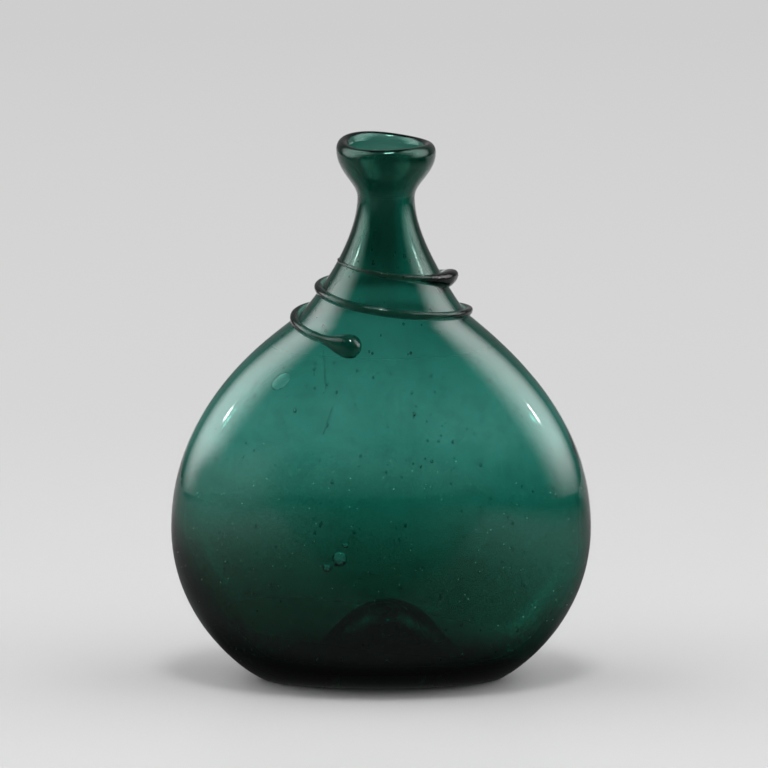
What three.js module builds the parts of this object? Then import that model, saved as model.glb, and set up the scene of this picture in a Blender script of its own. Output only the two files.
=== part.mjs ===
// Antique green glass flask, blown, pressed flat and wound with a thread of hot glass.
// Millimetres, +Z up. The front of the flask faces -Y, and it stands on Z = 0.
import * as THREE from "three";

// Overall sizes of the vessel.
const flaskHeight = 191;
const bellyWidth = 145.4;
const bellyDepth = 62;
const bellyHeight = 53.8;
const bulgeHeight = 36;

// The worn ring that the flask rests on, and the heel that rises from it: flatter in front than at the sides.
const footWidth = 83;
const footDepth = 25.2;
const heelRiseAngle = THREE.MathUtils.degToRad(27);
const frontHeelRiseAngle = THREE.MathUtils.degToRad(16);

// The shoulder: the station where the round belly turns into the drawn neck.
const shoulderWidth = 58.5;
const shoulderHeight = 129.4;
const shoulderSlopeAngle = THREE.MathUtils.degToRad(141);

// The neck, the cup mouth on it and the thick folded lip.
const neckDiameter = 19.6;
const neckHeight = 170.5;
const lipDiameter = 34;
const lipDrop = 4.6;
const lipRollWidth = 4.9;
const lipTiltAngle = THREE.MathUtils.degToRad(3);
const lipWave = 0.5;
const lipWaveAngle = THREE.MathUtils.degToRad(135);

// The neck was set off to one side as it was worked: how far, and between which heights.
const neckLean = 1.7;
const leanStartHeight = 108;
const leanEndHeight = 150;

// Glass thickness: drawn thin over the belly, left thick in the neck, the heel and the kick.
const neckWall = 4.2;
const neckFootWall = 4.8;
const neckFootHeight = 152;
const shoulderWall = 3.4;
const bellyWall = 2.7;
const heelWall = 8.5;
const heelThickHeight = 15;
const heelThinHeight = 85;
const kickWall = 5;
const floorJoinHeight = 18;

// The kick: the base pushed up by the rod while the glass was soft.
const kickHeight = 22.5;
const kickWidth = 60;
const kickDepth = 17.5;

// The wound thread: a drop of hot glass set down on the front, drawn out round the shoulder.
const threadWidth = 3.1;
const threadHeight = 2.6;
const threadTip = 1.1;
const dropWidth = 7.6;
const dropLength = 11;
const dropHeight = 4.2;
const threadTurns = 2.2;
const threadStartAngle = THREE.MathUtils.degToRad(250.7);
const threadStartHeight = 122.3;
const threadClimb = 25.9;
const threadTiltAngle = THREE.MathUtils.degToRad(4);
const knotWidth = 5;

// The ragged ring of glass that the rod left under the kick.
const scarDiameter = 12.5;
const scarHoleDiameter = 4.5;
const scarThickness = 1.5;
const scarRaggedness = 0.7;

// Clearance between a piece of glass and the glass it was laid on.
const seatGap = 0.3;

// Bezier handle lengths of the outline, as shares of the height that each stretch spans.
const heelHandleShare = 0.122;
const lowerBellyHandleShare = 0.611;
const upperBellyHandleShare = 0.56;
const shoulderInHandleShare = 0.2;
const shoulderOutHandleShare = 0.073;
const neckHandleShare = 0.397;
const cupFootHandleShare = 0.3;
const cupRimHandleShare = 0.457;
const throatHandleShare = 0.5;
const frontHeelHandleShare = 0.42;
const lowerBulgeHandleShare = 0.55;
const upperBulgeHandleShare = 0.58;
const sideNeckHandleShare = 0.1345;

// The most that a sloping wall is widened, as a share of its thickness.
const widestWallShare = 2;

// The scar's broken edge, as [lobes round it, share of its raggedness, turn in radians].
const scarLobeShares = [
  [3, 0.6, 0],
  [7, 0.4, 1],
];

// The thread's climb, as [share of its turns, share of its rise]: quick at first, slower behind.
const threadClimbShares = [
  [0, 0],
  [0.09, 0.17],
  [0.32, 0.385],
  [0.4, 0.44],
  [0.55, 0.59],
  [0.77, 0.805],
  [0.85, 0.9],
  [1, 1],
];
// Where the hand slowed and the thread swelled, as a share of its length, and how far that reaches.
const knotPlaceShare = 0.77;
const knotReachShare = 0.035;
const tipTaperShare = 0.24;

// How finely each stretch is divided.
const roundSegments = 44;
const kickSteps = 8;
const heelSteps = 9;
const bellySteps = 15;
const neckSteps = 8;
const cupSteps = 7;
const rollSteps = 7;
const throatSteps = 6;
const boreSteps = 8;
const cavitySteps = 16;
const floorSteps = 11;
const threadStepsPerTurn = 46;
const threadArcSteps = 6;
const dropSteps = 12;
const scarSegments = 28;
const scarSectionSteps = 8;
const lookupSteps = 160;
const halvingSteps = 24;

const glass = (name, color, roughness) =>
  new THREE.MeshStandardMaterial({ name, color, roughness, metalness: 0, transparent: true, opacity: 0.6 });

// Curves of the outline, each as (distance from the axis, height).
const point = (radius, height) => new THREE.Vector2(radius, height);

function outline(from, fromHandle, toHandle, to) {
  return new THREE.CubicBezierCurve(from, from.clone().add(fromHandle), to.clone().add(toHandle), to);
}

const upperSpan = shoulderHeight - bellyHeight;
const neckSpan = neckHeight - shoulderHeight;
const rimHeight = flaskHeight - lipDrop;
const shoulderTurn = point(Math.cos(shoulderSlopeAngle), Math.sin(shoulderSlopeAngle));
const heelTurn = point(Math.cos(heelRiseAngle), Math.sin(heelRiseAngle));
const frontHeelTurn = point(Math.cos(frontHeelRiseAngle), Math.sin(frontHeelRiseAngle));
const foot = point(footWidth / 2, 0);
const belly = point(bellyWidth / 2, bellyHeight);
const shoulder = point(shoulderWidth / 2, shoulderHeight);
const neck = point(neckDiameter / 2, neckHeight);
const rim = point(lipDiameter / 2, rimHeight);

// The front outline, from the foot to the neck, in three stretches.
const heelCurve = outline(
  foot,
  heelTurn.clone().multiplyScalar(heelHandleShare * bellyHeight),
  point(0, -lowerBellyHandleShare * bellyHeight),
  belly,
);
const bellyCurve = outline(
  belly,
  point(0, upperBellyHandleShare * upperSpan),
  shoulderTurn.clone().multiplyScalar(-shoulderInHandleShare * upperSpan),
  shoulder,
);
const neckCurve = outline(
  shoulder,
  shoulderTurn.clone().multiplyScalar(shoulderOutHandleShare * neckSpan),
  point(0, -neckHandleShare * neckSpan),
  neck,
);

// The side outline: the flask pressed flat, round again at the neck.
const bulge = point(bellyDepth / 2, bulgeHeight);
const sideSpan = neckHeight - bulgeHeight;
const sideLowerCurve = outline(
  point(footDepth / 2, 0),
  frontHeelTurn.clone().multiplyScalar(frontHeelHandleShare * bulgeHeight),
  point(0, -lowerBulgeHandleShare * bulgeHeight),
  bulge,
);
const sideUpperCurve = outline(
  bulge,
  point(0, upperBulgeHandleShare * sideSpan),
  point(0, -sideNeckHandleShare * sideSpan),
  neck,
);

// Reads a curve the other way: the distance from the axis at a height.
function readByHeight(curves) {
  const points = curves.flatMap((curve) => curve.getPoints(lookupSteps));
  return (height) => {
    if (height <= points[0].y) return points[0].x;
    const next = points.findIndex((p) => p.y > height);
    if (next < 0) return points[points.length - 1].x;
    const [a, b] = [points[next - 1], points[next]];
    return THREE.MathUtils.mapLinear(height, a.y, b.y, a.x, b.x);
  };
}
const halfWidthAt = readByHeight([heelCurve, bellyCurve, neckCurve]);
const halfDepthAt = readByHeight([sideLowerCurve, sideUpperCurve]);

const blend = (from, to, share) => THREE.MathUtils.lerp(from, to, THREE.MathUtils.smoothstep(share, 0, 1));

// Wall thickness at a height, square to the surface.
function wallAt(height) {
  const stretch = (from, to, start, end) => blend(from, to, (height - start) / (end - start));
  if (height > neckFootHeight) return stretch(neckFootWall, neckWall, neckFootHeight, neckHeight);
  if (height > shoulderHeight) return stretch(shoulderWall, neckFootWall, shoulderHeight, neckFootHeight);
  if (height > heelThinHeight) return stretch(bellyWall, shoulderWall, heelThinHeight, shoulderHeight);
  return stretch(heelWall, bellyWall, heelThickHeight, heelThinHeight);
}

// The inner wall: each outline drawn in by the wall, measured along the level.
function drawnIn(radiusAt) {
  const step = neckHeight / lookupSteps;
  return (height) => {
    const slope = (radiusAt(height + step) - radiusAt(Math.max(0, height - step))) / (2 * step);
    return radiusAt(height) - wallAt(height) * Math.min(Math.hypot(1, slope), widestWallShare);
  };
}
const innerHalfWidthAt = drawnIn(halfWidthAt);
const innerHalfDepthAt = drawnIn(halfDepthAt);

// Finds how far along a family of level ellipses a plan position lies, from 0 to 1.
function shareAt(x, y, ellipseAt) {
  let [low, high] = [0, 1];
  for (let i = 0; i < halvingSteps; i++) {
    const middle = (low + high) / 2;
    const { a, b } = ellipseAt(middle);
    if ((x / a) ** 2 + (y / b) ** 2 > 1) low = middle;
    else high = middle;
  }
  return (low + high) / 2;
}

// The kick is round at its top, where the rod pushed, and spreads to the flattened foot.
const wave = (share) => (1 + Math.cos(Math.PI * Math.min(share, 1))) / 2;
const kickFlattening = kickWidth / kickDepth;
function kickEllipse(share, grown) {
  const a = (kickWidth / 2) * share;
  const b = ((kickDepth / 2) * Math.tanh(kickFlattening * share)) / Math.tanh(kickFlattening);
  const reach = grown * Math.sin((Math.PI / 2) * Math.min(share * 2, 1));
  return { a: a + reach, b: b + reach };
}
function kickUnderside(x, y, grown = 0) {
  const share = shareAt(x, y, (s) => kickEllipse(s, grown));
  return kickHeight * wave(share) + grown;
}

// The inner wall's height over a plan position near the floor.
function innerWallHeight(x, y) {
  const ellipse = (share) => ({
    a: innerHalfWidthAt(share * floorJoinHeight),
    b: innerHalfDepthAt(share * floorJoinHeight),
  });
  return floorJoinHeight * shareAt(x, y, ellipse);
}

// The floor inside: over the kick, and up into the inner wall, never thinner than the heel.
function floorHeight(x, y) {
  const overKick = kickUnderside(x, y, kickWall);
  const overWall = innerWallHeight(x, y);
  const softness = kickWall / 2;
  const top = Math.max(overKick, overWall, heelWall);
  const sum = [overKick, overWall, heelWall].reduce((s, h) => s + Math.exp((h - top) / softness), 0);
  return top + softness * Math.log(sum);
}

// The neck's lean: the axis moves over between the shoulder and the neck.
function leanOver(p) {
  p.x += neckLean * THREE.MathUtils.smoothstep(p.z, leanStartHeight, leanEndHeight);
  return p;
}

// How far the tilted and wavy lip stands above its level, going round it.
function lipRise(angle, radius) {
  return lipWave * Math.cos(2 * (angle - lipWaveAngle)) - Math.tan(lipTiltAngle) * radius * Math.cos(angle);
}

// The rings of the vessel, from the top of the kick underneath, round the outside and back inside.
function vesselRings() {
  const rings = [];
  const round = (p) => rings.push({ a: p.x, b: p.x, z: p.y });
  const level = (z, across, deep) => rings.push({ a: across(z), b: deep(z), z });
  const spread = (count) => Array.from({ length: count }, (_, i) => (i + 1) / count);

  rings.push({ a: 0, b: 0, z: kickHeight });
  for (const share of spread(kickSteps)) {
    rings.push({ ...kickEllipse(share, 0), z: kickHeight * wave(share) });
  }
  rings.push({ a: footWidth / 2, b: footDepth / 2, z: 0 });
  for (const [curve, steps] of [
    [heelCurve, heelSteps],
    [bellyCurve, bellySteps],
    [neckCurve, neckSteps],
  ]) {
    for (const share of spread(steps)) level(curve.getPoint(share).y, halfWidthAt, halfDepthAt);
  }

  const cupSpan = rimHeight - neckHeight;
  const cup = outline(neck, point(0, cupFootHandleShare * cupSpan), point(0, -cupRimHandleShare * cupSpan), rim);
  for (const share of spread(cupSteps)) round(cup.getPoint(share));
  const crestRadius = rim.x - lipRollWidth / 2;
  const angles = Array.from({ length: roundSegments }, (_, i) => (2 * Math.PI * i) / roundSegments);
  const crest = lipDrop - Math.max(...angles.map((angle) => lipRise(angle, crestRadius)));
  const roll = new THREE.EllipseCurve(crestRadius, rimHeight, lipRollWidth / 2, crest, 0, Math.PI);
  for (const share of spread(rollSteps)) round(roll.getPoint(share));
  const innerRim = point(rim.x - lipRollWidth, rimHeight);
  const bore = point(innerHalfWidthAt(neckHeight), neckHeight);
  const handle = throatHandleShare * cupSpan;
  const throat = outline(innerRim, point(0, -handle), point(0, handle), bore);
  for (const share of spread(throatSteps)) round(throat.getPoint(share));

  for (const [from, to, steps] of [
    [neckHeight, shoulderHeight, boreSteps],
    [shoulderHeight, floorJoinHeight, cavitySteps],
  ]) {
    for (const share of spread(steps)) level(THREE.MathUtils.lerp(from, to, share), innerHalfWidthAt, innerHalfDepthAt);
  }
  const joinWidth = innerHalfWidthAt(floorJoinHeight);
  const joinDepth = innerHalfDepthAt(floorJoinHeight);
  for (const share of spread(floorSteps)) {
    const inwards = 1 - share;
    rings.push({ a: joinWidth * inwards, b: joinDepth * inwards, z: floorJoinHeight, floor: true });
  }
  return rings;
}

// Blown round, then pressed flat: a revolve whose rings are each drawn to their own depth.
function makeFlaskBody() {
  const rings = vesselRings();
  const profile = rings.map((ring) => point(ring.a, ring.z));
  const geometry = new THREE.LatheGeometry(profile, roundSegments).rotateX(Math.PI / 2);
  const position = geometry.getAttribute("position");
  const p = new THREE.Vector3();
  for (let i = 0; i < position.count; i++) {
    const ring = rings[i % rings.length];
    p.fromBufferAttribute(position, i);
    if (ring.a > 0) p.y *= ring.b / ring.a;
    if (ring.floor) p.z = floorHeight(p.x, p.y);
    const lipShare = THREE.MathUtils.smoothstep(p.z, neckHeight, rimHeight);
    p.z += lipShare * lipRise(Math.atan2(p.y, p.x), Math.hypot(p.x, p.y));
    leanOver(p);
    position.setXYZ(i, p.x, p.y, p.z);
  }
  geometry.computeVertexNormals();
  return new THREE.Mesh(geometry, glass("blown_green_glass", 0x1f6b58, 0.06));
}

// A place on the vessel's outside, and the way out from it.
function skinPoint(angle, height) {
  return new THREE.Vector3(halfWidthAt(height) * Math.cos(angle), halfDepthAt(height) * Math.sin(angle), height);
}
function skinNormal(angle, height) {
  const [turn, rise] = [Math.PI / lookupSteps, neckHeight / lookupSteps];
  const round = skinPoint(angle + turn, height).sub(skinPoint(angle - turn, height));
  const up = skinPoint(angle, height + rise).sub(skinPoint(angle, height - rise));
  return round.cross(up).normalize();
}

// The thread's middle line on the skin, by the share of its turns wound so far.
const threadRise = new THREE.SplineCurve(threadClimbShares.map(([turn, rise]) => point(turn, rise)));
const threadRisePoints = threadRise.getPoints(lookupSteps);
function threadPlace(share) {
  const angle = threadStartAngle - share * threadTurns * 2 * Math.PI;
  const next = Math.max(1, threadRisePoints.findIndex((p) => p.x >= share));
  const [a, b] = [threadRisePoints[next - 1], threadRisePoints[next]];
  const climbed = THREE.MathUtils.mapLinear(share, a.x, b.x, a.y, b.y);
  const level = threadStartHeight + threadClimb * climbed;
  const height = level - Math.tan(threadTiltAngle) * halfWidthAt(level) * Math.cos(angle);
  return { at: skinPoint(angle, height), out: skinNormal(angle, height) };
}

// How wide and how proud the thread stands, from the drop that starts it to its drawn tip.
function threadSection(share, run) {
  const { smoothstep, lerp } = THREE.MathUtils;
  const knot = Math.exp(-(((share - knotPlaceShare) / knotReachShare) ** 2));
  const tip = smoothstep(share, 1 - tipTaperShare, 1);
  const drawn = lerp(threadWidth, threadTip, tip);
  const width = drawn + (knotWidth - threadWidth) * knot;
  const height = (threadHeight / threadWidth) * width;
  const front = dropWidth / 2;
  const round = Math.sqrt(Math.max(0, 1 - Math.max(0, 1 - run / front) ** 2));
  const inDrop = 1 - smoothstep(run, front, dropLength);
  return { width: lerp(width, dropWidth * round, inDrop), height: lerp(height, dropHeight * round, inDrop) };
}

// Shares of the thread at which a section is set: close together over the drop and at the tip.
function threadShares() {
  const { halfTurn, dropShare } = dropReach();
  const steps = Math.round(threadStepsPerTurn * threadTurns);
  const shares = [];
  for (let i = 0; i < dropSteps; i++) shares.push(dropShare * (1 - Math.cos((halfTurn * i) / dropSteps)));
  for (let i = 0; i <= steps; i++) shares.push(THREE.MathUtils.lerp(dropShare, 1, i / steps));
  return shares;
}

// The drop's length as a share of the whole thread.
function dropReach() {
  const whole = threadTurns * Math.PI * (shoulderWidth / 2 + halfDepthAt(shoulderHeight));
  return { halfTurn: Math.PI / 2, dropShare: dropLength / whole };
}

// The thread: flat below, where it melted on to the skin, and round above.
function makeGlassTrail() {
  const shares = threadShares();
  const perRing = threadArcSteps + 2;
  const vertices = [];
  let run = 0;
  let previous = null;
  for (const share of shares) {
    const { at, out } = threadPlace(share);
    run += previous ? at.distanceTo(previous) : 0;
    previous = at;
    const least = threadTip / 2;
    const section = threadSection(share, run + least / 2);
    const along = threadPlace(Math.min(1, share + 1 / lookupSteps)).at.sub(
      threadPlace(Math.max(0, share - 1 / lookupSteps)).at,
    );
    const across = along.cross(out).normalize();
    const width = Math.max(least, section.width);
    const proud = Math.max(least, section.height);
    const seat = seatGap * (1 + THREE.MathUtils.smoothstep(width, threadWidth, dropWidth));
    for (let i = 0; i <= threadArcSteps; i++) {
      const turn = (Math.PI * i) / threadArcSteps;
      const side = (width / 2) * Math.cos(turn);
      const lift = seat + (proud - seatGap) * Math.sin(turn);
      vertices.push(leanOver(at.clone().addScaledVector(across, side).addScaledVector(out, lift)));
    }
    vertices.push(leanOver(at.clone().addScaledVector(out, seat)));
  }
  return new THREE.Mesh(sweep(vertices, perRing, shares.length), glass("drawn_glass_thread", 0x1d5a4b, 0.08));
}

// Joins rings of points into one closed skin, with a fan over each end.
function sweep(vertices, perRing, ringCount) {
  const index = [];
  for (let ring = 0; ring + 1 < ringCount; ring++) {
    for (let i = 0; i < perRing; i++) {
      const [a, b] = [ring * perRing + i, ring * perRing + ((i + 1) % perRing)];
      index.push(a, a + perRing, b, b, a + perRing, b + perRing);
    }
  }
  const last = (ringCount - 1) * perRing;
  for (let i = 1; i + 1 < perRing; i++) {
    index.push(0, i, i + 1);
    index.push(last, last + i + 1, last + i);
  }
  const geometry = new THREE.BufferGeometry().setFromPoints(vertices).setIndex(index);
  geometry.computeVertexNormals();
  return geometry;
}

// The scar: a broken ring of glass under the kick, following its dome.
function makePontilScar() {
  const middle = (scarDiameter + scarHoleDiameter) / 4;
  const band = (scarDiameter - scarHoleDiameter) / 4;
  const section = new THREE.EllipseCurve(middle, 0, band, scarThickness / 2, 0, 2 * Math.PI).getPoints(scarSectionSteps);
  const geometry = new THREE.LatheGeometry(section, scarSegments).rotateX(Math.PI / 2);
  const position = geometry.getAttribute("position");
  const slopeStep = scarThickness / 4;
  for (let i = 0; i < position.count; i++) {
    const [x, y, z] = [position.getX(i), position.getY(i), position.getZ(i)];
    const angle = Math.atan2(y, x);
    const ragged = scarLobeShares.reduce(
      (sum, [lobes, share, turn]) => sum + scarRaggedness * share * Math.cos(lobes * angle + turn),
      0,
    );
    const far = Math.hypot(x, y);
    const grow = 1 + (ragged * Math.max(0, far - middle)) / (band * far);
    const [px, py] = [x * grow, y * grow];
    const dome = kickUnderside(px, py);
    const outwards = 1 + slopeStep / far;
    const slope = (kickUnderside(px * outwards, py * outwards) - dome) / slopeStep;
    const seat = (seatGap + scarThickness / 2) * Math.hypot(1, slope);
    position.setXYZ(i, px, py, dome - seat + z);
  }
  geometry.computeVertexNormals();
  return new THREE.Mesh(geometry, glass("broken_glass_ring", 0x174a3d, 0.35));
}

const flask = new THREE.Group();
for (const [name, make] of Object.entries({
  flask_body: makeFlaskBody,
  glass_trail: makeGlassTrail,
  pontil_scar: makePontilScar,
})) {
  const piece = make();
  piece.name = name;
  flask.add(piece);
}

export default flask;
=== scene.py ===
"""Antique green glass flask: a blown vessel, its wound thread and its pontil scar, on a table in a studio.

Metres, +Z up. The front of the flask faces -Y and it stands on Z = 0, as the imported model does.
"""

import logging
import math
import random
from dataclasses import dataclass, field
from enum import Enum
from functools import partial
from typing import Any

import bmesh
import bpy
import numpy as np
from mathutils import Matrix, Vector, noise


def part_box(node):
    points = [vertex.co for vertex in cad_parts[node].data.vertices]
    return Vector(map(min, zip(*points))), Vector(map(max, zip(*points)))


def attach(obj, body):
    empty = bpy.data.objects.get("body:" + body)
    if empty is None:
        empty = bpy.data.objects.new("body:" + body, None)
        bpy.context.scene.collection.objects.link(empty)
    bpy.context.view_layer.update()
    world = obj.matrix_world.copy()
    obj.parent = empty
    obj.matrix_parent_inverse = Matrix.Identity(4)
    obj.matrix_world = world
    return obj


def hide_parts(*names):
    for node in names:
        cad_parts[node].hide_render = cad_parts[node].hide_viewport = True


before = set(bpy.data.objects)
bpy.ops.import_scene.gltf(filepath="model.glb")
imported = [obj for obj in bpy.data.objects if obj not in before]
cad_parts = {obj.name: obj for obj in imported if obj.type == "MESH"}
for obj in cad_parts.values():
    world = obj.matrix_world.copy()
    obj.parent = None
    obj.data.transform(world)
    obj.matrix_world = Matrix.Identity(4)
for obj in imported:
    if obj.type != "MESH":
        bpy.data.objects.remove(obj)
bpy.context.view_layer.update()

LOG = logging.getLogger("flask")
TAG = "ring"
INNER = "inner_wall"
# Points nearer than this are one.
MERGE = 1e-6
ABOUT_AXIS = {"cent": (0, 0, 0), "axis": (0, 0, 1), "use_duplicate": False}
Tree = bpy.types.NodeTree
Mesh = bmesh.types.BMesh
Material = bpy.types.Material
# Two numbers, such as where an easing starts and where it ends.
Span = tuple[float, float]


def linear(code: str) -> tuple[float, float, float, float]:
    """Turns an sRGB hex value into linear colour.

    Args:
        code: six hex digits, such as "1f6b58".

    Returns:
        Red, green, blue and an alpha of 1, each from 0 to 1.
    """
    channels = [int(code[i : i + 2], 16) / 255 for i in (0, 2, 4)]
    lit = [c / 12.92 if c <= 0.04045 else ((c + 0.055) / 1.055) ** 2.4 for c in channels]
    return (lit[0], lit[1], lit[2], 1.0)


def smoothstep(value: Any, low: float, high: float) -> Any:
    """Eases from 0 at low to 1 at high, for a number or an array."""
    share = np.clip((np.asarray(value, float) - low) / (high - low), 0.0, 1.0)
    return share * share * (3 - 2 * share)


def bezier(
    start: Vector, leave: Vector, end: Vector, arrive: Vector, pulls: Span, count: int = 400
) -> np.ndarray:
    """Points along a cubic curve.

    Args:
        start: where the curve starts.
        leave: the way it leaves there.
        end: where it ends.
        arrive: the way it arrives there.
        pulls: how far each end holds its way, as shares of the rise between the ends.
        count: how many points to return.

    Returns:
        An array of (distance from the axis, height).
    """
    rise = abs(end.y - start.y)
    handles = (start + leave * (pulls[0] * rise), end - arrive * (pulls[1] * rise))
    t = np.linspace(0.0, 1.0, count)[:, None]
    a, b, c, d = (np.array(p) for p in (start, *handles, end))
    return (1 - t) ** 3 * a + 3 * (1 - t) ** 2 * t * b + 3 * (1 - t) * t * t * c + t**3 * d


def emptied(owner: Material | bpy.types.World) -> Tree:
    """Gives a new material or world an empty node tree."""
    owner.use_nodes = True
    owner.node_tree.nodes.clear()
    return owner.node_tree


def add_node(tree: Tree, kind: str, values: dict | None = None, links: dict | None = None) -> Any:
    """Adds a node with its settings and links.

    Args:
        tree: the node tree to add to.
        kind: the node's type, without its ShaderNode prefix.
        values: settings by property name, or input values by socket name or number.
        links: nodes, for their first output, or sockets, by the name or number of the input they feed.

    Returns:
        The new node.
    """
    node = tree.nodes.new("ShaderNode" + kind)
    for key, value in (values or {}).items():
        if isinstance(key, str) and key in node.bl_rna.properties:
            setattr(node, key, value)
        else:
            node.inputs[key].default_value = value
    for key, source in (links or {}).items():
        socket = source.outputs[0] if isinstance(source, bpy.types.Node) else source
        tree.links.new(socket, node.inputs[key])
    return node


def eased(tree: Tree, value: Any, start: float, end: float, low: float = 0.0, high: float = 1.0) -> Any:
    """Eases from one level to another as a value runs from start to end.

    Args:
        tree: the node tree to add to.
        value: the node or socket that is read.
        start: where the low level ends.
        end: where the high level begins, which may lie below start.
        low: the level up to start.
        high: the level from end on.

    Returns:
        The node with the eased level.
    """
    levels = {"From Min": start, "From Max": end, "To Min": low, "To Max": high}
    values = {"interpolation_type": "SMOOTHSTEP", **levels}
    return add_node(tree, "MapRange", values, {"Value": value})


def combined(tree: Tree, operation: str, *sockets: Any) -> Any:
    """Joins two or more nodes or sockets with one maths operation, in turn.

    Args:
        tree: the node tree to add to.
        operation: such as "MULTIPLY". A difference stops at zero.
        sockets: what is joined.

    Returns:
        The node with the result.
    """
    result = sockets[0]
    for socket in sockets[1:]:
        values = {"operation": operation, "use_clamp": operation == "SUBTRACT"}
        result = add_node(tree, "Math", values, {0: result, 1: socket})
    return result


def plan_distance(tree: Tree, place: Any, stretch: float = 1.0) -> Any:
    """Distance of a place from the axis in plan, on ellipses that are stretched across."""
    plan = add_node(tree, "VectorMath", {"operation": "MULTIPLY", 1: (1 / stretch, 1, 0)}, {0: place})
    return add_node(tree, "VectorMath", {"operation": "LENGTH"}, {0: plan}).outputs["Value"]


def shaped(name: str, bm: Mesh, material: Material) -> bpy.types.Object:
    """Turns a bmesh into a smooth object at the origin.

    Args:
        name: the object's name.
        bm: the mesh, which is freed.
        material: the finish of the whole piece.

    Returns:
        The object, linked to the scene.
    """
    for face in bm.faces:
        face.smooth = True
    mesh = bpy.data.meshes.new(name)
    bm.to_mesh(mesh)
    bm.free()
    mesh.materials.append(material)
    piece = bpy.data.objects.new(name, mesh)
    bpy.context.scene.collection.objects.link(piece)
    return piece


class Zone(Enum):
    """Which stretch of the glass a ring lies on."""

    SKIN = "outside"
    HOLLOW = "inside wall"
    FLOOR = "inside floor"


@dataclass(frozen=True)
class Ring:
    """One level ring of the vessel's glass."""

    across: float
    deep: float
    height: float
    zone: Zone


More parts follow.
